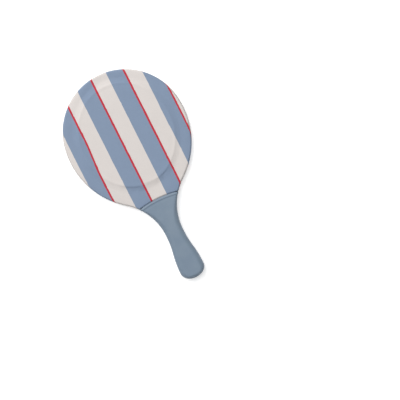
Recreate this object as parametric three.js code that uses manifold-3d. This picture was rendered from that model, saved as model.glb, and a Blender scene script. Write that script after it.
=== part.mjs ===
// Beach racket with soft faces: a moulded blade, foam pads and liners, neoprene skins and a rubber grip.
// Millimetres, +Z up. The racket lies flat with its head towards +Y. Z = 0 is the underside of the grip.
import * as THREE from "three";
import { mergeVertices } from "three/addons/utils/BufferGeometryUtils.js";
import Module from "manifold-3d";

const wasm = await Module();
wasm.setup();

// Outline seen from above
const overallLength = 380;
const headRadius = 106.5;
const flankStartAngle = Math.PI / 18;
const neckRadius = 94;
const waistHalfWidth = 15.6;
const waistFromButt = 85;
const buttHalfWidth = 21.7;
const buttRoundLength = 16.5;

// Covers and bond lines
const skinThickness = 2.7;
const sleeveWall = 2.7;
const bondLine = 0.3;
const fitGap = 0.3;
const seamGap = 0.3;
const edgeRound = 5.5;

// Moulded blade
const bladeThickness = 7;
const webThickness = 1.6;
const rimWidth = 6;
const landWidth = 3.2;
const ribThickness = 1.6;
const ribRecess = 1.3;
const ribCount = 24;
const neckWall = 5;
const tangRimWidth = 3.5;
const tangRibPitch = 14;
const pegRadius = 3.2;
const pegHeight = 2.4;
const pegCount = 3;

// Oval pads, placed by the margins round them, and how they lift the skin
const padFromSide = 26.5;
const padFromTop = 23;
const padFromLip = 31;
const padRise = 2;
const padEdgeRound = 1;
const tentWidth = 12;
const tentBow = 1.3;

// Grip: its mouth lies on an arc, arched towards the head
const lipRadius = 160;
const lipFromWaist = 63.2;
const mouthWall = 3;
const tuckDepth = 12;
const tuckThickness = 1.9;
const tongueOverlap = 6;
const gripThickness = 20;
const gripRampLength = 46;
const mouthCorner = 6;
const gripCorner = 9;
const buttSideRound = 7;
const beadWidth = 4.6;
const beadRise = 0.8;
const grooveWidth = 2;
const grooveDepth = 0.3;

// Steps of the faceted surfaces
const headSteps = 9;
const flankSteps = 8;
const neckSteps = 7;
const flareSteps = 5;
const buttSteps = 6;
const edgeSteps = 4;
const tentSteps = 3;
const crossSteps = 5;
const cornerSteps = 4;
const flatSteps = 3;
const beadSteps = 4;
const grooveSteps = 2;
const roundSteps = 48;
const pegSteps = 16;
const arcSteps = 144;
const halvings = 40;

// Heights and places that follow from the sizes above
const topY = overallLength / 2;
const buttY = -topY;
const headCentreY = topY - headRadius;
const waistY = buttY + waistFromButt;
const roundY = buttY + buttRoundLength;
const lipY = waistY + lipFromWaist;
const lipCentre = new THREE.Vector2(0, lipY - lipRadius);
const padHalfWidth = headRadius - padFromSide;
const padHalfLength = (topY - padFromTop - lipY - padFromLip) / 2;
const ovalY = topY - padFromTop - padHalfLength;
const bladeHalf = bladeThickness / 2;
const webHalf = webThickness / 2;
const skinUnder = bladeHalf + bondLine;
const skinFace = skinUnder + skinThickness;
const tongueTop = skinUnder + tuckThickness;
const mouthInside = tongueTop + fitGap;
const clear = gripThickness;

// The right half of the outline, from the top of the head to the butt, as tangent curves. The flank
// gets the one radius that leaves the head and meets the neck without a corner.
function sideCurves() {
  const neckX = waistHalfWidth + neckRadius;
  const drop = headCentreY - waistY;
  const sum = headRadius + neckRadius;
  const lean = neckX * Math.cos(flankStartAngle) - drop * Math.sin(flankStartAngle);
  const away = (neckX ** 2 + drop ** 2 - sum ** 2) / (2 * (sum - lean));
  const flankRadius = headRadius + away;
  const flankX = -away * Math.cos(flankStartAngle);
  const flankY = headCentreY - away * Math.sin(flankStartAngle);
  const meet = Math.atan2(waistY - flankY, neckX - flankX);
  const middleY = (waistY + roundY) / 2;
  const quarter = Math.PI / 2;
  return {
    head: new THREE.EllipseCurve(0, headCentreY, headRadius, headRadius, quarter, flankStartAngle, true),
    flank: new THREE.EllipseCurve(flankX, flankY, flankRadius, flankRadius, flankStartAngle, meet, true),
    neck: new THREE.EllipseCurve(neckX, waistY, neckRadius, neckRadius, meet + Math.PI, Math.PI, false),
    flare: new THREE.CubicBezierCurve(
      new THREE.Vector2(waistHalfWidth, waistY),
      new THREE.Vector2(waistHalfWidth, middleY),
      new THREE.Vector2(buttHalfWidth, middleY),
      new THREE.Vector2(buttHalfWidth, roundY),
    ),
    butt: new THREE.EllipseCurve(0, roundY, buttHalfWidth, buttRoundLength, 0, -quarter, true),
  };
}

const side = sideCurves();

// A point of a curve, moved inwards square to the outline
function inside(curve, t, inset) {
  const along = curve.getTangent(t);
  const outwards = new THREE.Vector2(-along.y, along.x);
  return curve.getPoint(t).addScaledVector(outwards, -inset);
}

function curvePoints(curve, steps, insetAt) {
  return Array.from({ length: steps }, (_, i) => {
    const t = i / steps;
    return inside(curve, t, insetAt(curve.getPoint(t)));
  });
}

// The left side of a loop, back up to the Y axis, as the mirror image of points on the right
function mirrored(right) {
  return right.map((p) => new THREE.Vector2(-p.x, p.y)).reverse();
}

// The whole outline, moved inwards by an amount that may differ from place to place
function outline(insetAt) {
  const right = [
    ...curvePoints(side.head, headSteps, insetAt),
    ...curvePoints(side.flank, flankSteps, insetAt),
    ...curvePoints(side.neck, neckSteps, insetAt),
    ...curvePoints(side.flare, flareSteps, insetAt),
    ...curvePoints(side.butt, buttSteps, insetAt),
  ];
  const end = inside(side.butt, 1, insetAt(side.butt.getPoint(1))).setX(0);
  return [...right, end, ...mirrored(right.slice(1))];
}

// How far the blade lies inside the outline: under the skins in the head, under the sleeve in the grip
function coverAt(point) {
  return point.distanceTo(lipCentre) > lipRadius ? skinThickness + bondLine : sleeveWall + fitGap;
}

// The head's outline down to a line across the neck, a little below where the skins end
function headLoop(inset) {
  const insetAt = () => inset;
  const end = neckPoint(tuckDepth + neckWall, inset);
  const start = neckPoint(0, inset);
  const neck = neckShareAt(0, inset);
  const shares = Array.from({ length: neckSteps }, (_, i) => (neck * i) / neckSteps);
  const right = [
    ...curvePoints(side.head, headSteps, insetAt),
    ...curvePoints(side.flank, flankSteps, insetAt),
    ...shares.map((share) => inside(side.neck, share, inset)),
    start,
    end,
  ];
  const across = Array.from({ length: crossSteps - 1 }, (_, i) => {
    const share = (i + 1) / crossSteps;
    return new THREE.Vector2(end.x * (1 - 2 * share), end.y);
  });
  return [...right, ...across, ...mirrored(right.slice(1))];
}

// Where on the neck's curve the outline, moved inwards, is a given depth inside the lip's arc
function neckShareAt(depth, inset) {
  let low = 0;
  let high = 1;
  for (let i = 0; i < halvings; i++) {
    const middle = (low + high) / 2;
    const deep = lipRadius - inside(side.neck, middle, inset).distanceTo(lipCentre);
    if (deep < depth) low = middle;
    else high = middle;
  }
  return (low + high) / 2;
}

function neckPoint(depth, inset) {
  return inside(side.neck, neckShareAt(depth, inset), inset);
}

// The pad's oval grown by an amount, seen from its centre in the directions of the head's outline
function ovalLoop(grow) {
  return headLoop(0).map((p) => {
    const x = p.x;
    const y = p.y - ovalY;
    const scale = 1 / Math.hypot(x / (padHalfWidth + grow), y / (padHalfLength + grow));
    return new THREE.Vector2(x * scale, ovalY + y * scale);
  });
}

function raised(loop, z) {
  return loop.map((p) => new THREE.Vector3(p.x, p.y, z));
}

// Closes a surface over rings of points. A ring of one point is a pole, and other end rings get a cap.
function loft(rings) {
  const points = rings.flat();
  const starts = rings.map((_, i) => rings.slice(0, i).reduce((sum, ring) => sum + ring.length, 0));
  const faces = [];
  rings.slice(1).forEach((ring, k) => joinRings(faces, starts[k], rings[k].length, starts[k + 1], ring.length));
  capRing(faces, rings[0], starts[0], false);
  capRing(faces, rings.at(-1), starts.at(-1), true);
  const volume = faces.reduce((sum, [a, b, c]) => {
    return sum + points[a].dot(new THREE.Vector3().crossVectors(points[b], points[c]));
  }, 0);
  const index = (volume < 0 ? faces.map(([a, b, c]) => [a, c, b]) : faces).flat();
  const geometry = new THREE.BufferGeometry().setFromPoints(points);
  geometry.setIndex(index);
  return solidOf(geometry);
}

function joinRings(faces, low, lowCount, high, highCount) {
  const count = Math.max(lowCount, highCount);
  for (let i = 0; i < count; i++) {
    const next = (i + 1) % count;
    if (lowCount > 1) faces.push([low + i, low + next, high + (highCount > 1 ? next : 0)]);
    if (highCount > 1) faces.push([low + (lowCount > 1 ? i : 0), high + next, high + i]);
  }
}

function capRing(faces, ring, start, last) {
  if (ring.length === 1) return;
  const flat = new THREE.Box3().setFromPoints(ring).getSize(new THREE.Vector3());
  const level = flat.z < flat.y;
  const contour = ring.map((p) => new THREE.Vector2(p.x, level ? p.y : p.z));
  const cap = THREE.ShapeUtils.triangulateShape(contour, []);
  const [a, b, c] = cap[0].map((i) => contour[i]);
  const turned = b.clone().sub(a).cross(c.clone().sub(a)) * THREE.ShapeUtils.area(contour) < 0;
  cap.forEach(([i, j, k]) => {
    faces.push(turned === last ? [start + i, start + k, start + j] : [start + i, start + j, start + k]);
  });
}

// Solids for cutting and joining, and back to meshes
function solidOf(geometry) {
  const bare = geometry.clone();
  bare.deleteAttribute("normal");
  bare.deleteAttribute("uv");
  const merged = mergeVertices(bare);
  return new wasm.Manifold(
    new wasm.Mesh({
      numProp: 3,
      vertProperties: merged.attributes.position.array,
      triVerts: new Uint32Array(merged.index.array),
    }),
  );
}

function meshOf(name, solid, material) {
  const made = solid.getMesh();
  const geometry = new THREE.BufferGeometry();
  geometry.setAttribute("position", new THREE.BufferAttribute(made.vertProperties, 3));
  geometry.setIndex(new THREE.BufferAttribute(made.triVerts, 1));
  geometry.computeVertexNormals();
  const mesh = new THREE.Mesh(geometry, material);
  mesh.name = name;
  return mesh;
}

function prism(loop, low, high) {
  const geometry = new THREE.ExtrudeGeometry(new THREE.Shape(loop), {
    depth: high - low,
    bevelEnabled: false,
  });
  return solidOf(geometry.translate(0, 0, low));
}

function ellipsePoints(halfWidth, halfLength) {
  return new THREE.EllipseCurve(0, ovalY, halfWidth, halfLength).getSpacedPoints(roundSteps).slice(0, -1);
}

// An upright round bar about the centre of the lip's arc, which cuts edges side by side with the lip
function lipDisc(depth) {
  const radius = lipRadius - depth;
  const bar = new THREE.CylinderGeometry(radius, radius, 2 * clear, arcSteps);
  return solidOf(bar.rotateX(Math.PI / 2).translate(lipCentre.x, lipCentre.y, 0));
}

function box(width, length, height, x, y, angle) {
  const block = new THREE.BoxGeometry(width, length, height);
  return solidOf(block.rotateZ(angle).translate(x, y, 0));
}

function joined(solids) {
  return solids.reduce((sum, solid) => sum.add(solid));
}

function flipped(solid) {
  return solid.mirror([0, 0, 1]);
}

// The blade's plate: the whole outline in one moulding, with its edge rounded all the way round
function bladePlate() {
  const reach = (point) => edgeRound - coverAt(point);
  const ring = (turn) => {
    const inset = (point) => edgeRound - reach(point) * Math.cos(turn);
    return raised(outline(inset), bladeHalf * Math.sin(turn));
  };
  const turns = Array.from({ length: 2 * edgeSteps + 1 }, (_, i) => (Math.PI / 2) * (i / edgeSteps - 1));
  return loft(turns.map(ring));
}

// Recesses from the front face of the blade down to its web, with the ribs left standing in them
function bladeRecesses() {
  const land = ellipsePoints(padHalfWidth + bondLine + landWidth, padHalfLength + bondLine + landWidth);
  const pocket = ellipsePoints(padHalfWidth + bondLine, padHalfLength + bondLine);
  const head = prism(outline((point) => coverAt(point) + rimWidth), webHalf, clear);
  const grip = prism(outline((point) => coverAt(point) + tangRimWidth), webHalf, clear);
  return joined([
    head.subtract(prism(land, 0, 2 * clear)).subtract(lipDisc(-neckWall)).subtract(radialRibs()),
    prism(pocket, webHalf, clear),
    grip.intersect(lipDisc(tuckDepth + neckWall)).subtract(tangRibs()),
  ]);
}

// Ribs that run out from the oval land to the rim
function radialRibs() {
  const length = overallLength / 2;
  return joined(
    Array.from({ length: ribCount }, (_, i) => {
      const angle = (2 * Math.PI * i) / ribCount;
      const x = (Math.sin(angle) * length) / 2;
      const y = ovalY - (Math.cos(angle) * length) / 2;
      return box(ribThickness, length, 2 * (bladeHalf - ribRecess), x, y, angle);
    }),
  );
}

// Cross ribs of the tang, from its root to the butt, as tall as the blade once its faces bound them
function tangRibs() {
  const first = lipY - tuckDepth - neckWall - tangRibPitch;
  const count = Math.floor((first - buttY) / tangRibPitch) + 1;
  return joined(
    Array.from({ length: count }, (_, i) => {
      return box(3 * buttHalfWidth, ribThickness, 3 * clear, 0, first - i * tangRibPitch, 0);
    }),
  );
}

// Places of the pegs that hold the cheeks, each on a cross rib
function pegPlaces() {
  const first = lipY - tuckDepth - neckWall - 2 * tangRibPitch;
  return Array.from({ length: pegCount }, (_, i) => first - 2 * i * tangRibPitch);
}

function pegs(radius, height) {
  const peg = new THREE.CylinderGeometry(radius, radius, 2 * (bladeHalf + height), pegSteps);
  peg.rotateX(Math.PI / 2);
  return joined(pegPlaces().map((y) => solidOf(peg.clone().translate(0, y, 0))));
}

function coreFrame() {
  const recesses = bladeRecesses();
  return bladePlate().subtract(recesses).subtract(flipped(recesses)).add(pegs(pegRadius, pegHeight));
}

// Foam pad of the front face, which stands proud of its pocket
function frontPad() {
  const low = webHalf + bondLine;
  const high = bladeHalf + padRise;
  const full = ellipsePoints(padHalfWidth, padHalfLength);
  const small = ellipsePoints(padHalfWidth - padEdgeRound, padHalfLength - padEdgeRound);
  return loft([raised(full, low), raised(full, high - padEdgeRound), raised(small, high)]);
}

// Foam liner of the front face: it lies on the ribs, level with the rim and the land
function frontLiner() {
  const hole = ellipsePoints(padHalfWidth + landWidth + 2 * bondLine, padHalfLength + landWidth + 2 * bondLine);
  const low = bladeHalf - ribRecess + bondLine;
  return prism(outline((point) => coverAt(point) + rimWidth + bondLine), low, bladeHalf)
    .subtract(prism(hole, 0, clear))
    .subtract(lipDisc(-neckWall - bondLine));
}

// Rings of a skin's outer or inner surface, from the oval plateau out to the seam
function skinRings(under, face) {
  const rise = (share) => face + padRise * (1 - share) ** tentBow;
  const tent = Array.from({ length: tentSteps + 1 }, (_, i) => i / tentSteps);
  const turns = Array.from({ length: edgeSteps + 1 }, (_, i) => (Math.PI / 2) * (i / edgeSteps));
  const seam = seamGap / 2;
  return [
    ...tent.map((share) => raised(ovalLoop(tentWidth * share), rise(share))),
    ...turns.map((turn) => {
      const inset = edgeRound - (edgeRound - under) * Math.sin(turn);
      return raised(headLoop(inset), seam + (face - seam) * Math.cos(turn));
    }),
  ];
}

// The tongue of a skin that is pressed flat under the grip's mouth
function skinTongue() {
  return prism(headLoop(mouthCorner), skinUnder, tongueTop)
    .intersect(lipDisc(-tongueOverlap))
    .subtract(lipDisc(tuckDepth));
}

function frontSkin() {
  const shell = loft([...skinRings(0, skinFace), ...skinRings(skinThickness, skinUnder).reverse()]);
  return shell.subtract(lipDisc(-fitGap)).add(skinTongue());
}

// One surface of the grip: how far it lies inside the outer one, and its half thickness at the mouth
function gripLayer(inset, mouthHalf) {
  return {
    inset,
    mouthHalf,
    half: gripThickness / 2 - inset,
    mouthCorner: mouthCorner - inset,
    corner: gripCorner - inset,
    round: buttSideRound - inset,
  };
}

// One section of the grip: a slab with rounded sides, bowed along the lip's arc near the mouth
function gripRing(layer, point, depth, rise) {
  const blend = THREE.MathUtils.smoothstep(depth, 0, gripRampLength);
  const past = Math.max(0, (buttY + buttSideRound - point.y) / layer.round);
  const shrink = Math.sqrt(Math.max(0, 1 - past ** 2));
  const half = (THREE.MathUtils.lerp(layer.mouthHalf, layer.half, blend) + rise) * shrink;
  const side = point.x + rise;
  const widest = side * (1 - 1 / (flatSteps + 1));
  const corner = Math.min(THREE.MathUtils.lerp(layer.mouthCorner, layer.corner, blend), widest);
  const arc = lipRadius - Math.min(depth, gripRampLength);
  const bow = (x) => (1 - blend) * (Math.sqrt(arc ** 2 - x ** 2) - Math.sqrt(arc ** 2 - side ** 2));
  const quarter = [];
  for (let i = 0; i <= cornerSteps; i++) {
    const turn = (Math.PI / 2) * (i / cornerSteps);
    quarter.push([side - corner + corner * Math.cos(turn), half * Math.sin(turn)]);
  }
  for (let i = 1; i <= flatSteps; i++) quarter.push([(side - corner) * (1 - i / flatSteps), half]);
  const upper = [...quarter, ...quarter.slice(0, -1).reverse().map(([x, z]) => [-x, z])];
  const lower = upper.slice(1, -1).reverse().map(([x, z]) => [x, -z]);
  return [...upper, ...lower].map(([x, z]) => new THREE.Vector3(x, point.y + bow(x), z));
}

// Rings of a grip surface from below the mouth to the butt, ending in a pole
function gripRings(layer, from) {
  const waistDepth = lipRadius - inside(side.neck, 1, layer.inset).distanceTo(lipCentre);
  const depths = Array.from({ length: neckSteps }, (_, i) => from + ((waistDepth - from) * i) / neckSteps);
  const insetAt = () => layer.inset;
  const lower = [
    ...curvePoints(side.flare, flareSteps, insetAt),
    ...curvePoints(side.butt, buttSteps, insetAt),
  ];
  return [
    ...depths.map((depth) => gripRing(layer, neckPoint(depth, layer.inset), depth, 0)),
    ...lower.map((point) => gripRing(layer, point, gripRampLength, 0)),
    [new THREE.Vector3(0, buttY + layer.inset, 0)],
  ];
}

// The bead round the mouth and the groove behind it
function lipRings(layer) {
  const bead = Array.from({ length: beadSteps }, (_, i) => i / beadSteps);
  const groove = Array.from({ length: grooveSteps }, (_, i) => i / grooveSteps);
  const ring = (depth, rise) => gripRing(layer, neckPoint(depth, layer.inset), depth, rise);
  return [
    ...bead.map((share) => ring(beadWidth * share, beadRise * Math.sin(Math.PI * share))),
    ...groove.map((share) => ring(beadWidth + grooveWidth * share, -grooveDepth * Math.sin(Math.PI * share))),
  ];
}

function gripSleeve() {
  const outer = gripLayer(0, mouthInside + mouthWall);
  const inner = gripLayer(sleeveWall, mouthInside);
  return loft([
    ...gripRings(inner, 0).reverse(),
    ...lipRings(outer),
    ...gripRings(outer, beadWidth + grooveWidth),
  ]);
}

// Foam cheek on the front of the tang, which fills the sleeve and sits on the tang's pegs
function frontCheek() {
  const filler = gripLayer(sleeveWall + fitGap, mouthInside - fitGap);
  const low = bladeHalf + bondLine;
  return loft(gripRings(filler, 0))
    .intersect(lipDisc(tuckDepth + fitGap))
    .intersect(prism(outline(() => 0), low, clear))
    .subtract(pegs(pegRadius + fitGap, pegHeight + fitGap));
}

function racket() {
  const plastic = new THREE.MeshStandardMaterial({ color: 0xe6e4de, roughness: 0.45, metalness: 0 });
  const foam = new THREE.MeshStandardMaterial({ color: 0xf1efe9, roughness: 0.95, metalness: 0 });
  const greyFoam = new THREE.MeshStandardMaterial({ color: 0x9aa3ad, roughness: 0.95, metalness: 0 });
  const knit = new THREE.MeshStandardMaterial({ color: 0xdcd5d0, roughness: 0.85, metalness: 0 });
  const rubber = new THREE.MeshStandardMaterial({ color: 0x788ca3, roughness: 0.6, metalness: 0 });
  const pad = frontPad();
  const liner = frontLiner();
  const skin = frontSkin();
  const cheek = frontCheek();
  const group = new THREE.Group();
  group.add(
    meshOf("core_frame", coreFrame(), plastic),
    meshOf("front_pad", pad, foam),
    meshOf("back_pad", flipped(pad), foam.clone()),
    meshOf("front_liner", liner, foam.clone()),
    meshOf("back_liner", flipped(liner), foam.clone()),
    meshOf("front_cheek", cheek, greyFoam),
    meshOf("back_cheek", flipped(cheek), greyFoam.clone()),
    meshOf("front_skin", skin, knit),
    meshOf("back_skin", flipped(skin), knit.clone()),
    meshOf("grip_sleeve", gripSleeve(), rubber),
  );
  group.position.z = gripThickness / 2;
  return group;
}

export default racket();
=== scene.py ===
"""Looks for a soft-faced beach racket: printed neoprene skins over foam, a moulded blade and a rubber grip.

The CAD model is loaded as a fixed frame, in metres. The blade keeps its CAD mesh, and every other piece is
modelled again here. The racket lies flat with its head towards +Y. Its middle plane is halfway up the grip.
"""

import math

import bmesh
import bpy
from mathutils import Matrix, Vector, geometry


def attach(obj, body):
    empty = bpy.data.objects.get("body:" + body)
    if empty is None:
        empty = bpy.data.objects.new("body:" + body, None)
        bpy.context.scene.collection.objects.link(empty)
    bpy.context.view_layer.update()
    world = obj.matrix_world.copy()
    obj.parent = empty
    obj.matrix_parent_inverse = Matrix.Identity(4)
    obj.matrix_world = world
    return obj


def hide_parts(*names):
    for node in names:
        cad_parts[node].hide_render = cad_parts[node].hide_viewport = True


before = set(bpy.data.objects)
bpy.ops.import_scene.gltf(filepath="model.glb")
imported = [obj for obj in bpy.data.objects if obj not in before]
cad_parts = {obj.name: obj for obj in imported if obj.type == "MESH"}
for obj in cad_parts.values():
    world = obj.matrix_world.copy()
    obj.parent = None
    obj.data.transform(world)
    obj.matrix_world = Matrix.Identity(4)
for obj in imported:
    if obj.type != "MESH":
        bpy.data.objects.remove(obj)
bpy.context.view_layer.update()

# Blade. One injection moulding of white polypropylene that carries everything: a rounded rim, a thin web with
# ribs, an oval land round the pads, and a tang for the grip. It keeps its CAD mesh and gets its finish here.

plastic_white = (0.80, 0.78, 0.74, 1)
plastic_ivory = (0.70, 0.67, 0.60, 1)


class Wire:
    """A socket in a material's node tree. Arithmetic on it adds Math nodes."""

    def __init__(self, tree, socket=None):
        self.tree = tree
        self.socket = socket

    def node(self, kind, settings=None, sockets=None, output=0):
        """Adds a node, sets it up, fills or links its sockets, and gives one of its outputs."""
        made = self.tree.nodes.new("ShaderNode" + kind)
        for name, value in (settings or {}).items():
            setattr(made, name, value)
        for name, value in (sockets or {}).items():
            if isinstance(value, Wire):
                self.tree.links.new(value.socket, made.inputs[name])
            else:
                made.inputs[name].default_value = value
        return Wire(self.tree, made.outputs[output])

    def maths(self, operation, *values):
        return self.node("Math", {"operation": operation}, dict(enumerate(values)))

    def __add__(self, other):
        return self.maths("ADD", self, other)

    def __radd__(self, other):
        return self.maths("ADD", other, self)

    def __sub__(self, other):
        return self.maths("SUBTRACT", self, other)

    def __rsub__(self, other):
        return self.maths("SUBTRACT", other, self)

    def __mul__(self, other):
        return self.maths("MULTIPLY", self, other)

    def __rmul__(self, other):
        return self.maths("MULTIPLY", other, self)

    def __truediv__(self, other):
        return self.maths("DIVIDE", self, other)

    def __abs__(self):
        return self.maths("ABSOLUTE", self)

    def fade(self, low, high):
        """0 where this is at low and 1 where it is at high, eased in between."""
        limits = {"Value": self, "From Min": low, "From Max": high}
        return self.node("MapRange", {"interpolation_type": "SMOOTHSTEP"}, limits)

    def blend(self, first, second):
        """The first colour where this is 0 and the second where it is 1."""
        return self.node("Mix", {"data_type": "RGBA"}, {0: self, 6: first, 7: second}, 2)

    def axis(self, number):
        """One coordinate of this vector: 0 across the racket, 1 along it, 2 upwards."""
        return self.node("SeparateXYZ", {}, {0: self}, number)

    def noise(self, scale, detail=2):
        """Noise from 0 to 1 at these coordinates, with scale features to the metre."""
        sockets = {"Vector": self, "Scale": scale, "Detail": detail}
        return self.node("TexNoise", {}, sockets)

    def bump(self, height, depth, strength=1):
        """A normal from a height from 0 to 1 that stands for a depth in metres."""
        return self.node("Bump", {}, {"Height": height, "Distance": depth, "Strength": strength})


def new_material(name):
    """An empty material, and a wire to start its nodes from."""
    material = bpy.data.materials.new(name)
    material.use_nodes = True
    material.node_tree.nodes.clear()
    return material, Wire(material.node_tree)


def shown(wire, shader, kind="Material"):
    """Ends a material, or a world, with a shader."""
    output = wire.tree.nodes.new(f"ShaderNodeOutput{kind}")
    wire.tree.links.new(shader.socket, output.inputs["Surface"])


def finished(wire, sockets):
    """Ends a material with one Principled shader."""
    shown(wire, wire.node("BsdfPrincipled", {}, sockets))


moulded_plastic, wire = new_material("moulded polypropylene")
place = wire.node("TexCoord", output="Object")
cloudy = place.noise(scale=60, detail=3)
grain = place.noise(scale=2500)
finished(
    wire,
    {
        "Base Color": cloudy.fade(0.3, 0.75).blend(plastic_white, plastic_ivory),
        "Roughness": 0.36 + 0.14 * place.noise(scale=400),
        "IOR": 1.49,
        "Normal": wire.bump(grain, depth=0.00003),
    },
)

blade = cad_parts["core_frame"]
blade.data.materials.clear()
blade.data.materials.append(moulded_plastic)

# Pads. Two oval plates of closed-cell foam, one in each pocket of the blade. They stand a little proud of the
# land, and lift the skins into the oval that shows on both faces.

middle = 0.010
blade_half = 0.0035
web_half = 0.0008
bond_line = 0.0003
pad_half_width = 0.080
pad_half_length = 0.0889
pad_rise = 0.002
pad_edge_round = 0.001
pad_edge_steps = 6
oval_steps = 128
oval_centre = Vector((0, 0.0781))
foam_white = (0.86, 0.84, 0.80, 1)
foam_mottle_and_groove_shade = (0.74, 0.71, 0.66, 1)


def raised(ring, z):
    """A flat ring of points at a height above the middle plane."""
    return [Vector((point.x, point.y, middle + z)) for point in ring]


def extruded(mesh, loop, ring):
    """Draws a closed loop of vertices out onto the next ring of points, and gives the new loop."""
    edges = [mesh.edges.get(pair) for pair in zip(loop, loop[1:] + loop[:1])]
    made = bmesh.ops.extrude_edge_only(mesh, edges=edges)["geom"]
    fresh = {item for item in made if isinstance(item, bmesh.types.BMVert)}
    drawn = [next(e.other_vert(v) for e in v.link_edges if e.other_vert(v) in fresh) for v in loop]
    for vert, point in zip(drawn, ring):
        vert.co = point
    return drawn


def circle_on(mesh, ring):
    """A closed loop of vertices on a ring of points."""
    made = bmesh.ops.create_circle(mesh, segments=len(ring), radius=1)
    loop = made["verts"]
    for vert, point in zip(loop, ring):
        vert.co = point
    return loop


def put_in_order(mesh):
    """Sorts edges and faces by their vertices, because extruding makes them in another order on each run."""
    mesh.verts.index_update()
    count = len(mesh.verts)

    def rank(part):
        lowest = sorted(vert.index for vert in part.verts)[:3]
        return sum(number * count**power for number, power in zip(lowest, (2, 1, 0)))

    mesh.edges.sort(key=rank)
    mesh.faces.sort(key=rank)


def lofted(rings):
    """A closed form through rings of points, with a flat cap at either end."""
    mesh = bmesh.new()
    loop = circle_on(mesh, rings[0])
    for ring in rings[1:]:
        loop = extruded(mesh, loop, ring)
    put_in_order(mesh)
    bmesh.ops.holes_fill(mesh, edges=mesh.edges, sides=0)
    bmesh.ops.recalc_face_normals(mesh, faces=mesh.faces)
    return mesh


def oval_ring(grow):
    """The pads' oval, grown all round by an amount."""
    half_width = pad_half_width + grow
    half_length = pad_half_length + grow
    turns = [2 * math.pi * i / oval_steps for i in range(oval_steps)]
    return [oval_centre + Vector((half_width * math.sin(t), half_length * math.cos(t))) for t in turns]


def in_scene(name, data):
    """A new object of some data, linked to the scene."""
    made = bpy.data.objects.new(name, data)
    bpy.context.scene.collection.objects.link(made)
    return made


def piece_from(mesh, name, materials, node):
    """Makes a smooth object of a mesh. It rides on the racket and stands for a CAD node."""
    data = bpy.data.meshes.new(name)
    mesh.to_mesh(data)
    mesh.free()
    data.shade_smooth()
    for material in materials:
        data.materials.append(material)
    piece = in_scene(name, data)
    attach(piece, "root")
    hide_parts(node)
    return piece


def turned_over(mesh):
    """A copy of a mesh for the other face, as the racket shows it when it is turned over."""
    other = mesh.copy()
    raise_to_middle = Matrix.Translation((0, 0, middle))
    over = raise_to_middle @ Matrix.Rotation(math.pi, 4, "Y") @ raise_to_middle.inverted()
    bmesh.ops.transform(other, matrix=over, verts=other.verts)
    return other


def both_faces(mesh, name, materials):
    """The two pieces of a pair: the mesh itself on the front, and a copy turned over on the back."""
    back = piece_from(turned_over(mesh), f"{name}_back", materials, f"back_{name}")
    front = piece_from(mesh, f"{name}_front", materials, f"front_{name}")
    return back, front


cell_foam, wire = new_material("closed-cell foam")
place = wire.node("TexCoord", output="Object")
cells = place.node("TexVoronoi", {"feature": "DISTANCE_TO_EDGE"}, {"Vector": place, "Scale": 1400})
soft = place.noise(scale=90, detail=3)
# Darker at random, and darker in the grooves between the cells, which is painted shade
finished(
    wire,
    {
        "Base Color": (0.6 * soft + 0.4 * (1 - cells.fade(0, 0.3))).blend(foam_white, foam_mottle_and_groove_shade),
        "Roughness": 0.85 + 0.1 * soft,
        "Specular IOR Level": 0.25,
        "Normal": wire.bump(cells.fade(0, 0.35), depth=0.00012),
    },
)

pad_low = web_half + bond_line
pad_high = blade_half + pad_rise
pad_chamfer = pad_edge_round / 3
pad_flat_inset = 4 * pad_edge_round
# The lower edge is only broken, and the upper one, which the skin is drawn over, is rounded
pad_rings = [
    raised(oval_ring(-pad_edge_round), pad_low),
    raised(oval_ring(-pad_chamfer), pad_low + pad_chamfer),
]
for step in range(pad_edge_steps + 1):
    turn = math.pi / 2 * step / pad_edge_steps
    inset = pad_edge_round * (1 - math.cos(turn))
    pad_rings.append(raised(oval_ring(-inset), pad_high - pad_edge_round * (1 - math.sin(turn))))
pad_rings.append(raised(oval_ring(-pad_flat_inset), pad_high))
for piece in both_faces(lofted(pad_rings), "pad", [cell_foam]):
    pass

# Liners. Two rings of the same foam on the ribs between the oval land and the rim. They keep the ribs from
# showing through the skins.

head_radius = 0.1065
head_centre = Vector((0, 0.0835))
flank_start = math.radians(10)
neck_radius = 0.094
waist_half_width = 0.0156
waist_y = -0.105
lip_radius = 0.160
lip_centre = Vector((0, -0.2018))
skin_thickness = 0.0027
rim_width = 0.006
land_width = 0.0032
neck_wall = 0.005
rib_recess = 0.0013
liner_edge_round = 0.0002
weld_distance = 0.00001
head_steps = 40
flank_steps = 36
neck_steps = 8
lip_steps = 12

# The flank gets the one radius that leaves the head and meets the neck without a corner
neck_centre = Vector((waist_half_width + neck_radius, waist_y))
drop = head_centre.y - waist_y
reach = head_radius + neck_radius
lean = neck_centre.x * math.cos(flank_start) - drop * math.sin(flank_start)
flank_radius = head_radius + (neck_centre.x**2 + drop**2 - reach**2) / (2 * (reach - lean))
flank_away = flank_radius - head_radius
flank_centre = head_centre - flank_away * Vector((math.cos(flank_start), math.sin(flank_start)))
to_neck = neck_centre - flank_centre
neck_start = math.atan2(to_neck.y, to_neck.x)


def arc(centre, radius, start, end, steps):
    """Points along a circular arc, without its last one."""
    turns = [start + (end - start) * i / steps for i in range(steps)]
    return [centre + radius * Vector((math.cos(turn), math.sin(turn))) for turn in turns]


def lip_corner(inset, depth):
    """Where the neck's outline, moved inwards, crosses the arc of the grip's lip, moved towards the butt."""
    radius = lip_radius - depth
    found = geometry.intersect_sphere_sphere_2d(lip_centre, radius, neck_centre, neck_radius + inset)
    return max(found, key=lambda point: point.y)


def mirrored(half):
    """A closed ring from its right half, which starts and ends on the middle line."""
    return half + [Vector((-point.x, point.y)) for point in half[-2:0:-1]]


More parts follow.
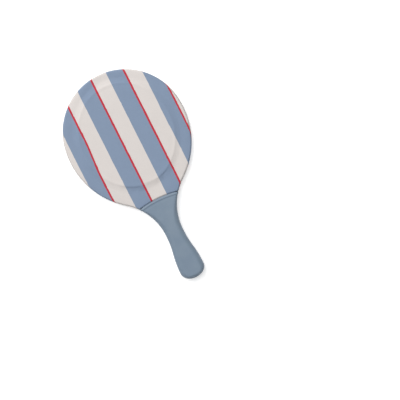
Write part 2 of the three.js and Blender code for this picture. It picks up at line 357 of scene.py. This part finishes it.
def head_ring(inset, depth, tuck_at=lambda across: 0):
    """The head's outline, moved inwards and closed along the lip's arc, moved towards the butt.

    tuck_at gives how much deeper the lip's part goes at a distance across from the middle line.
    """
    corner = lip_corner(inset, depth)
    from_neck = corner - neck_centre
    from_lip = corner - lip_centre
    neck_end = math.atan2(from_neck.y, from_neck.x) % (2 * math.pi)
    lip_start = math.atan2(from_lip.y, from_lip.x)
    right = arc(head_centre, head_radius - inset, math.pi / 2, flank_start, head_steps)
    right += arc(flank_centre, flank_radius - inset, flank_start, neck_start, flank_steps)
    right += arc(neck_centre, neck_radius + inset, neck_start + math.pi, neck_end, neck_steps)
    for i in range(lip_steps + 1):
        share = i / lip_steps
        turn = lip_start + (math.pi / 2 - lip_start) * share
        radius = lip_radius - depth - tuck_at(lip_radius * math.cos(turn))
        right.append(lip_centre + radius * Vector((math.cos(turn), math.sin(turn))))
    right[0].x = right[-1].x = 0
    return mirrored(right)


def oval_towards(grow, ring):
    """The pads' oval, grown by an amount, seen from its centre in the directions of another ring."""
    made = []
    for point in ring:
        away = point - oval_centre
        size = math.hypot(away.x / (pad_half_width + grow), away.y / (pad_half_length + grow))
        made.append(oval_centre + away / size)
    return made


liner_outside = head_ring(skin_thickness + rim_width + 2 * bond_line, -neck_wall - bond_line)
liner_inside = oval_towards(land_width + 2 * bond_line, liner_outside)
liner_low = blade_half - rib_recess + bond_line
liner_rings = [
    raised(liner_inside, liner_low),
    raised(liner_outside, liner_low),
    raised(liner_outside, blade_half),
    raised(liner_inside, blade_half),
    raised(liner_inside, liner_low),
]
liner = bmesh.new()
loop = circle_on(liner, liner_rings[0])
for ring in liner_rings[1:]:
    loop = extruded(liner, loop, ring)
put_in_order(liner)
bmesh.ops.remove_doubles(liner, verts=liner.verts, dist=weld_distance)
bmesh.ops.recalc_face_normals(liner, faces=liner.faces)
for piece in both_faces(liner, "liner", [cell_foam]):
    edges = piece.modifiers.new("pressed edges", "BEVEL")
    edges.width = liner_edge_round
    edges.segments = 2

# Skins. Neoprene with a knit face, printed with stripes before it is cut, and glued over pad, liner and rim
# on both sides. It is wrapped round the edge to a butt seam at mid-height and tucked under the grip's lip.

# The form: a rounded edge, a flat margin, a slope with a faint ridge at its top, and a dip under the lip
edge_round = 0.0031
edge_turns = (90, 78, 66, 54, 42, 30, 20, 10, 0)
seam_gap = 0.0003
fit_gap = 0.0003
margin_shares = (0.3, 0.65)
tent_width = 0.0105
tent_start = 0.0006
tent_bow = 1.3
ridge_height = 0.0003
ridge_half = 0.0026
ridge_in = 0.001
plateau_step = 0.062
pole_step = 0.045
pole_part = 0.4
tight_part = 0.1
tight_spacing = 0.0019
pole_points = 12
tuck_lead = 0.0014
tuck_reach = 0.0035
tuck_top = 0.0057
tuck_run_in = 0.009
tuck_pace = 1.6
lip_half_width = lip_corner(0, -fit_gap).x
skin_face = blade_half + bond_line + skin_thickness
swell_limit = 0.0005
swell_frames = 20
# The print: stripes on a knit, how the cloth lies, what the ink and the dye do, painted shade between the
# loops, a darkening round the edge that is partly grime and partly painted shade, and a painted shadow line
# at the lip
stripe_pitch = 0.0572
red_line_place = -0.0125
red_line_half = 0.0017
pale_stripe_width = 0.0263
knit_wale = 0.0009
knit_course = 0.0007
skew = 0.012
skew_from = 0.07
draw_in = 2.6
bend_inside = (0.045, 0.062)
bend_outside = (0.076, 0.093)
bend_along = (0.035, 0.1)
bend_below = 0.0019
bend_change = 0.0035
ink_wander = 0.0005
ink_bleed = 0.00025
plain_tone = 0.94
cloud_tone = 0.07
speck_tone = 0.05
loop_painted_shade = 0.07
edge_grime_and_shade = 0.1
edge_darkening_from = 0.0025
edge_darkening_to = skin_face - 0.0001
print_blue = (0.233, 0.304, 0.424, 1)
print_pale = (0.724, 0.677, 0.649, 1)
print_red = (0.54, 0.035, 0.054, 1)
foam_hollow_shade = (0.62, 0.61, 0.58, 1)
lip_gap_shadow = (0.07, 0.09, 0.12, 1)
lip_gap_shadow_cover = 0.65
lip_gap_shadow_from = 0.0006
lip_gap_shadow_to = 0.0015
lip_gap_shadow_wander = 0.0003


def eased(share):
    """A share from 0 to 1, eased at both ends."""
    share = min(max(share, 0), 1)
    return share * share * (3 - 2 * share)


def edge_ring(turn):
    """One ring of the rounded edge, from the flat face at turn 0 to the seam at a quarter turn."""
    inset = edge_round * (1 - math.sin(turn))
    tuck = (tuck_lead + tuck_reach) * (1 - math.cos(turn)) - tuck_lead

    def tuck_at(across):
        return eased((lip_half_width - across) / tuck_run_in) * tuck

    ring = head_ring(inset, -fit_gap, tuck_at)
    # The flat cloth reaches as far past the flat face as the length that is wrapped round the oval edge
    flat_inset = edge_round - edge_round * turn - (skin_face - edge_round) * (1 - math.cos(turn))
    flat_ring = head_ring(flat_inset, -fit_gap, tuck_at)
    side_z = seam_gap / 2 + (skin_face - seam_gap / 2) * math.cos(turn)
    lip_z = skin_face - (skin_face - tuck_top) * eased(tuck_pace * math.sin(turn))
    points = []
    for i, point in enumerate(ring):
        at_lip = min(i, len(ring) - i) >= len(ring) // 2 - lip_steps
        in_lip = at_lip * eased((lip_half_width - abs(point.x)) / tuck_run_in)
        z = side_z + (lip_z - side_z) * in_lip
        points.append(Vector((point.x, point.y, middle + z)))
        flat_ring[i] = flat_ring[i].lerp(point, in_lip)
    return points, flat_ring


def tent_ring(grow):
    """One ring of the slope from the flat margin up to the oval, or of the plateau inside it."""
    ring = oval_towards(grow, head_ring(0, -fit_gap))
    share = min(max((grow - tent_start) / (tent_width - tent_start), 0), 1)
    ridge = ridge_height * math.exp(-(((grow + ridge_in) / ridge_half) ** 2))
    return raised(ring, skin_face + pad_rise * (1 - share) ** tent_bow + ridge), ring


def mixed(first, second, share):
    """A ring between two others."""
    return [a.lerp(b, share) for a, b in zip(first, second)]


skin_rings = [edge_ring(math.radians(turn)) for turn in edge_turns]
margin = skin_rings[-1]
tent = tent_ring(tent_width)
for share in margin_shares:
    skin_rings.append((mixed(margin[0], tent[0], share), mixed(margin[1], tent[1], share)))
# How far outside the oval the rings of the slope lie, and how far inside it the first ones of the plateau
slope_places = (tent_width, 0.009, 0.0072, 0.0052, 0.0035, 0.0022, 0.0012, 0.0005, 0)
plateau_places = (0.0005, 0.0012, 0.002, 0.003, 0.0042, 0.0055, 0.007)
skin_rings += [tent_ring(place) for place in slope_places]
skin_rings += [tent_ring(-place) for place in plateau_places]

skin = bmesh.new()
flat_cloth = skin.verts.layers.float_vector.new("flat_cloth")
loop = circle_on(skin, skin_rings[0][0])
loops = [loop]
for ring, flat in skin_rings[1:]:
    loop = extruded(skin, loop, ring)
    loops.append(loop)
for loop, (ring, flat) in zip(loops, skin_rings):
    for vert, point in zip(loop, flat):
        vert[flat_cloth] = (point.x, point.y, 0)

# The plateau: rings drawn in towards the middle, with every second vertex welded away where they get tight
plateau = skin_rings[-1][0]
pole = Vector((oval_centre.x, oval_centre.y, plateau[0].z))
first_size = 1 - plateau_places[-1] / pad_half_width
size = first_size
while len(loop) > pole_points:
    size -= plateau_step if size > pole_part else pole_step
    step = len(plateau) // len(loop)
    ring = [pole + (point - pole) * size / first_size for point in plateau[::step]]
    loop = extruded(skin, loop, ring)
    for vert in loop:
        vert[flat_cloth] = (vert.co.x, vert.co.y, 0)
    spacing = (loop[0].co - loop[1].co).length
    if spacing < tight_spacing or size < tight_part:
        bmesh.ops.weld_verts(skin, targetmap=dict(zip(loop[1::2], loop[::2])))
        loop = loop[::2]
put_in_order(skin)
bmesh.ops.contextual_create(skin, geom=loop)
bmesh.ops.recalc_face_normals(skin, faces=skin.faces)


def swollen(mesh, held, limit):
    """Lets the cloth swell as it does over foam, held at its edge, with a limit on how far a point moves."""
    data = bpy.data.meshes.new("cloth")
    mesh.verts.index_update()
    mesh.to_mesh(data)
    cloth = in_scene("cloth", data)
    group = cloth.vertex_groups.new(name="held")
    group.add([vert.index for vert in held], 1, "REPLACE")
    simulation = cloth.modifiers.new("swell", "CLOTH")
    settings = simulation.settings
    settings.quality = 6
    settings.mass = 0.2
    settings.tension_stiffness = 60
    settings.compression_stiffness = 60
    settings.shear_stiffness = 20
    settings.bending_stiffness = 0.5
    settings.shrink_min = -0.01
    settings.use_pressure = True
    settings.uniform_pressure_force = 1
    settings.effector_weights.gravity = 0
    settings.vertex_group_mass = "held"
    scene = bpy.context.scene
    for number in range(1, swell_frames + 1):
        scene.frame_set(number)
    result = cloth.evaluated_get(bpy.context.evaluated_depsgraph_get()).data
    for vert, moved in zip(mesh.verts, result.vertices):
        shift = moved.co - vert.co
        vert.co += shift * (limit / (limit + shift.length))
    scene.frame_set(1)
    bpy.data.objects.remove(cloth)


held = {vert for loop in loops[: len(edge_turns)] for vert in loop}
swollen(skin, held, swell_limit)


def printed_neoprene(name):
    """Stripes printed on the flat cloth, on a fine knit with a soft sheen."""
    material, wire = new_material(name)
    flat = wire.node("Attribute", {"attribute_name": "flat_cloth"}, output="Vector")
    across = flat.axis(0)
    along = flat.axis(1)
    # Knit: two slanted legs to each loop, in columns called wales and rows called courses
    leg = wire.maths("PINGPONG", across / knit_wale, 0.5)
    row = wire.maths("FRACT", along / knit_course + leg)
    loop_height = (1 - abs(row - 0.5) * 2) * leg.fade(0.02, 0.3)
    # Glued down by hand, the cloth is a little askew, drawn in at the sides and bent along its left red line
    askew = skew * (along - skew_from)
    drawn = draw_in * across * across * across
    leftward = -1 * across
    near_line = leftward.fade(*bend_inside) * (1 - leftward.fade(*bend_outside))
    pulled = near_line * (bend_below - bend_change * along.fade(*bend_along))
    # Ink follows the loops, so the printed edges aren't quite sharp
    wander = (flat.noise(scale=700) - 0.5) * ink_wander
    phase = (across + askew + drawn + pulled + wander - red_line_place) / stripe_pitch
    from_red = wire.maths("PINGPONG", phase, 0.5) * stripe_pitch
    red = 1 - from_red.fade(red_line_half - ink_bleed, red_line_half + ink_bleed)
    pale_half = pale_stripe_width / 2
    from_pale = abs(wire.maths("FRACT", phase) * stripe_pitch - (red_line_half + pale_half))
    pale = 1 - from_pale.fade(pale_half - ink_bleed, pale_half + ink_bleed)
    stripes = red.blend(pale.blend(print_blue, print_pale), print_red)
    # Uneven take-up of the dye, and painted shade down between the loops
    cloud = flat.noise(scale=45, detail=4)
    speck = flat.noise(scale=420, detail=3)
    dye_and_loop_shade = plain_tone + cloud_tone * cloud + speck_tone * speck + loop_painted_shade * (loop_height - 0.5)
    # Darker round the edge: partly grime from hands, partly painted shade over the rounded edge
    height = abs(wire.node("TexCoord", output="Object").axis(2) - middle)
    tone = dye_and_loop_shade - edge_grime_and_shade * (1 - height.fade(edge_darkening_from, edge_darkening_to))
    toned = wire.node("VectorMath", {"operation": "SCALE"}, {0: stripes, "Scale": tone})
    # A dark line of painted shadow where the skin goes under the grip's lip
    from_centre = wire.node("VectorMath", {"operation": "DISTANCE"}, {0: flat, 1: (*lip_centre, 0)}, "Value")
    past_lip = from_centre - lip_radius + lip_gap_shadow_wander * (speck - 0.5)
    shadowed_at_lip = (lip_gap_shadow_cover * (1 - past_lip.fade(lip_gap_shadow_from, lip_gap_shadow_to))).blend(toned, lip_gap_shadow)
    finished(
        wire,
        {
            "Base Color": shadowed_at_lip,
            "Roughness": 0.74 + 0.12 * speck,
            "Specular IOR Level": 0.3,
            "Sheen Weight": 0.15,
            "Sheen Roughness": 0.4,
            "Normal": wire.bump(loop_height, depth=0.0001, strength=0.6),
        },
    )
    return material


neoprene_face = printed_neoprene("printed neoprene")

neoprene_foam, wire = new_material("neoprene foam")
place = wire.node("TexCoord", output="Object")
cells = place.noise(scale=3000, detail=3)
# Greyer where the bump is low, which is painted shade in the hollows
finished(
    wire,
    {
        "Base Color": cells.blend(foam_hollow_shade, foam_white),
        "Roughness": 0.85 + 0.1 * cells,
        "Specular IOR Level": 0.2,
        "Normal": wire.bump(cells, depth=0.00008),
    },
)

for piece in both_faces(skin, "skin", [neoprene_face, neoprene_foam]):
    smooth = piece.modifiers.new("cloth", "SUBSURF")
    smooth.levels = 1
    smooth.render_levels = 1
    wall = piece.modifiers.new("thickness", "SOLIDIFY")
    wall.thickness = skin_thickness
    wall.offset = -1
    wall.material_offset = 1
    wall.material_offset_rim = 1

# Cheeks. Two closed-cell foam fillers, one pressed onto the pegs on each face of the tang. They give the grip
# its oval section inside the sleeve.

sleeve_wall = 0.0027
grip_half = 0.010
mouth_inside = tuck_top + fit_gap
mouth_wall = 0.003
tuck_depth = 0.012
ramp_length = 0.046
mouth_corner = 0.003
grip_corner = 0.009
butt_side_round = 0.007
butt_y = -0.19
butt_half_width = 0.0217
butt_round_length = 0.0165
round_y = butt_y + butt_round_length
corner_steps = 10
flat_steps = 6
thinnest_cheek = 0.0002
foam_blue_grey = (0.30, 0.36, 0.43, 1)
foam_blue_groove_shade = (0.22, 0.27, 0.33, 1)


def between(low, high, share):
    """The value at a share of the way from low to high."""
    return low + (high - low) * share


def grip_section(inset, mouth_half, point, depth, rise=0):
    """A ring round the grip: a slab with rounded sides, bowed along the lip's arc near the mouth."""
    blend = eased(depth / ramp_length)
    past = max(0, (butt_y + butt_side_round - point.y) / (butt_side_round - inset))
    shrink = math.sqrt(max(0, 1 - past**2))
    half = (between(mouth_half, grip_half - inset, blend) + rise) * shrink
    side = point.x + rise
    corner = min(between(mouth_corner, grip_corner, blend) - inset, side * (1 - 1 / (flat_steps + 1)))
    radius = lip_radius - min(depth, ramp_length)
    quarter = []
    for i in range(corner_steps + 1):
        turn = math.pi / 2 * i / corner_steps
        quarter.append((side - corner + corner * math.cos(turn), half * math.sin(turn)))
    for i in range(1, flat_steps + 1):
        quarter.append(((side - corner) * (1 - i / flat_steps), half))
    upper = quarter + [(-x, z) for x, z in quarter[-2::-1]]
    lower = [(-x, -z) for x, z in upper[1:-1]]
    ring = []
    for x, z in upper + lower:
        bow = (1 - blend) * (math.sqrt(radius**2 - x**2) - math.sqrt(radius**2 - side**2))
        ring.append(Vector((x, point.y + bow, middle + z)))
    return ring


def grip_stations(inset, first_depth, in_neck, in_flare, in_butt):
    """Points down the right side of the grip, from a depth below the lip to just before the butt's pole."""
    waist_depth = lip_radius - (Vector((waist_half_width - inset, waist_y)) - lip_centre).length
    stations = []
    for i in range(in_neck):
        depth = between(first_depth, waist_depth, i / in_neck)
        stations.append((lip_corner(inset, depth), depth))
    middle_y = (waist_y + round_y) / 2
    curve = geometry.interpolate_bezier(
        Vector((waist_half_width, waist_y)),
        Vector((waist_half_width, middle_y)),
        Vector((butt_half_width, middle_y)),
        Vector((butt_half_width, round_y)),
        in_flare + 1,
    )
    for i in range(in_flare):
        along = (curve[i + 1] - curve[max(i - 1, 0)]).normalized()
        stations.append((curve[i] + inset * Vector((along.y, -along.x)), ramp_length))
    for i in range(in_butt):
        turn = math.pi / 2 * i / in_butt
        place = Vector((butt_half_width * math.cos(turn), round_y - butt_round_length * math.sin(turn)))
        out = Vector((math.cos(turn) / butt_half_width, -math.sin(turn) / butt_round_length)).normalized()
        stations.append((place - inset * out, ramp_length))
    return stations


cheek_inset = sleeve_wall + fit_gap
cheek_low = middle + blade_half + bond_line
cheek_rings = []
for point, depth in grip_stations(cheek_inset, tuck_depth + fit_gap, in_neck=20, in_flare=16, in_butt=10):
    section = grip_section(cheek_inset, mouth_inside - fit_gap, point, depth)
    if max(p.z for p in section) > cheek_low + thinnest_cheek:
        cheek_rings.append([Vector((p.x, p.y, max(p.z, cheek_low))) for p in section])

cheek_foam, wire = new_material("cheek foam")
place = wire.node("TexCoord", output="Object")
cells = place.node("TexVoronoi", {"feature": "DISTANCE_TO_EDGE"}, {"Vector": place, "Scale": 1000})
# Darker in the grooves between the cells, which is painted shade
finished(
    wire,
    {
        "Base Color": cells.fade(0, 0.3).blend(foam_blue_groove_shade, foam_blue_grey),
        "Roughness": 0.86 + 0.1 * place.noise(scale=200),
        "Specular IOR Level": 0.25,
        "Normal": wire.bump(cells.fade(0, 0.35), depth=0.00015),
    },
)
for piece in both_faces(lofted(cheek_rings), "cheek", [cheek_foam]):
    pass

# Sleeve. One soft rubber moulding pushed over the tang and the ends of the skins. Its mouth is arched towards
# the head and ends in a bead with a groove behind it, and its butt is closed and rounded.

inner_start = 0.0006
bead_width = 0.0046
bead_rise = 0.0006
bead_lean = 1.9
bead_steps = 12
groove_width = 0.004
groove_depth = 0.0001
groove_lean = 0.6
groove_steps = 10
parting_half = 0.0001
parting_edge = 0.0004
scuffs_from = 0.178
scuffs_to = 0.189
rubber_blue = (0.163, 0.223, 0.297, 1)
rubber_worn = (0.189, 0.249, 0.318, 1)

inner = [
    grip_section(sleeve_wall, mouth_inside, point, depth)
    for point, depth in grip_stations(sleeve_wall, inner_start, in_neck=24, in_flare=16, in_butt=12)
]
outer_mouth = mouth_inside + mouth_wall
# Pairs of a depth from the lip and a rise over the grip's section: first the lip's rounded edge
lip_profile = [(0.0002, -0.0015), (0, -0.0012), (0, -0.0006), (0.0001, -0.00025), (0.0003, 0.0001)]
for i in range(2, bead_steps):
    share = i / bead_steps
    lip_profile.append((bead_width * share, bead_rise * math.sin(math.pi * share**bead_lean)))
for i in range(groove_steps):
    share = i / groove_steps
    sunk = groove_depth * math.sin(math.pi * share**groove_lean)
    lip_profile.append((bead_width + groove_width * share, -sunk))
outer = [grip_section(0, outer_mouth, lip_corner(0, depth), depth, rise) for depth, rise in lip_profile]
outer += [
    grip_section(0, outer_mouth, point, depth)
    for point, depth in grip_stations(0, bead_width + groove_width, in_neck=40, in_flare=28, in_butt=20)
]
sleeve = lofted(inner[::-1] + outer)

grip_rubber, wire = new_material("grip rubber")
place = wire.node("TexCoord", output="Object")
cloud = place.noise(scale=35, detail=4)
grain = place.noise(scale=5200)
pits = place.noise(scale=1500)
parting = 1 - abs(place.axis(2) - middle).fade(parting_half, parting_edge)
# The butt is what the racket stands and drops on, so it is scuffed
towards_butt = -1 * place.axis(1)
scuffs = towards_butt.fade(scuffs_from, scuffs_to) * place.noise(scale=240, detail=3).fade(0.5, 0.66)
worn = (0.8 * cloud + 0.2 * pits).fade(0.35, 0.7) + 0.8 * scuffs
finished(
    wire,
    {
        "Base Color": worn.blend(rubber_blue, rubber_worn),
        "Roughness": 0.47 + 0.1 * pits + 0.06 * cloud + 0.12 * scuffs,
        "Normal": wire.bump(0.5 * grain + 0.3 * pits + 0.6 * parting, depth=0.00006),
    },
)
piece_from(sleeve, "sleeve", [grip_rubber], "grip_sleeve")

# Studio. A pale floor of paper, tilted a little so that the grip and the thinner head both lie on it, a white
# surround, and one broad soft lamp beyond the head and to the left of it. The camera looks straight down.

floor_radius = 4
floor_slope = 0.0059
floor_reached = -0.088
floor_clearance = 0.0002
floor_white = (0.8, 0.8, 0.8, 1)
floor_lift = 0.54
surround = 0.3
key_watts = 230.0
lamp_width = 4
lamp_up = 1.97
lamp_left = 1.81
lamp_height = 3.98
picture_angle = math.radians(-26.04)
picture_width = 0.6776
picture_centre = Vector((0.0628, -0.0754, middle))
lens = 135
sensor = 36

floor_mesh = bmesh.new()
bmesh.ops.create_circle(floor_mesh, cap_ends=True, segments=64, radius=floor_radius)
tilt = Matrix.Rotation(math.atan(floor_slope), 4, "X")
shift = Matrix.Translation((0, 0, -floor_slope * floor_reached - floor_clearance))
bmesh.ops.transform(floor_mesh, matrix=shift @ tilt, verts=floor_mesh.verts)
floor_data = bpy.data.meshes.new("floor")
floor_mesh.to_mesh(floor_data)
floor_mesh.free()
in_scene("floor", floor_data)


def seen_white(wire):
    """1 for rays that show the background, straight, reflected or through glass, and 0 for all others."""
    seen = wire.node("LightPath", output="Is Camera Ray")
    for ray in ("Is Glossy Ray", "Is Transmission Ray"):
        seen = wire.maths("MAXIMUM", seen, wire.node("LightPath", output=ray))
    return seen


paper, wire = new_material("floor paper")
matt = wire.node("BsdfDiffuse", {}, {"Color": floor_white})
glow = wire.node("Emission", {}, {"Color": (1, 1, 1, 1), "Strength": seen_white(wire) * floor_lift})
shown(wire, wire.node("AddShader", {}, {0: matt, 1: glow}))
floor_data.materials.append(paper)

world = bpy.data.worlds.new("white surround")
world.use_nodes = True
world.node_tree.nodes.clear()
wire = Wire(world.node_tree)
strength = surround + (1 - surround) * seen_white(wire)
sky = wire.node("Background", {}, {"Color": (1, 1, 1, 1), "Strength": strength})
shown(wire, sky, "World")
bpy.context.scene.world = world

picture_right = Vector((math.cos(picture_angle), math.sin(picture_angle), 0))
picture_up = Vector((-picture_right.y, picture_right.x, 0))
lamp_place = lamp_up * picture_up - lamp_left * picture_right + Vector((0, 0, lamp_height))
lamp_data = bpy.data.lights.new("key", "AREA")
lamp_data.size = lamp_width
lamp_data.energy = key_watts
lamp = in_scene("key", lamp_data)
lamp.location = lamp_place
lamp.rotation_euler = (-lamp_place).to_track_quat("-Z", "Y").to_euler()

camera_data = bpy.data.cameras.new("camera")
camera_data.lens = lens
camera_data.sensor_width = sensor
camera = in_scene("camera", camera_data)
camera.location = picture_centre + Vector((0, 0, picture_width * lens / sensor))
camera.rotation_euler = (0, 0, picture_angle)
bpy.context.scene.camera = camera
bpy.context.scene.view_settings.view_transform = "Standard"
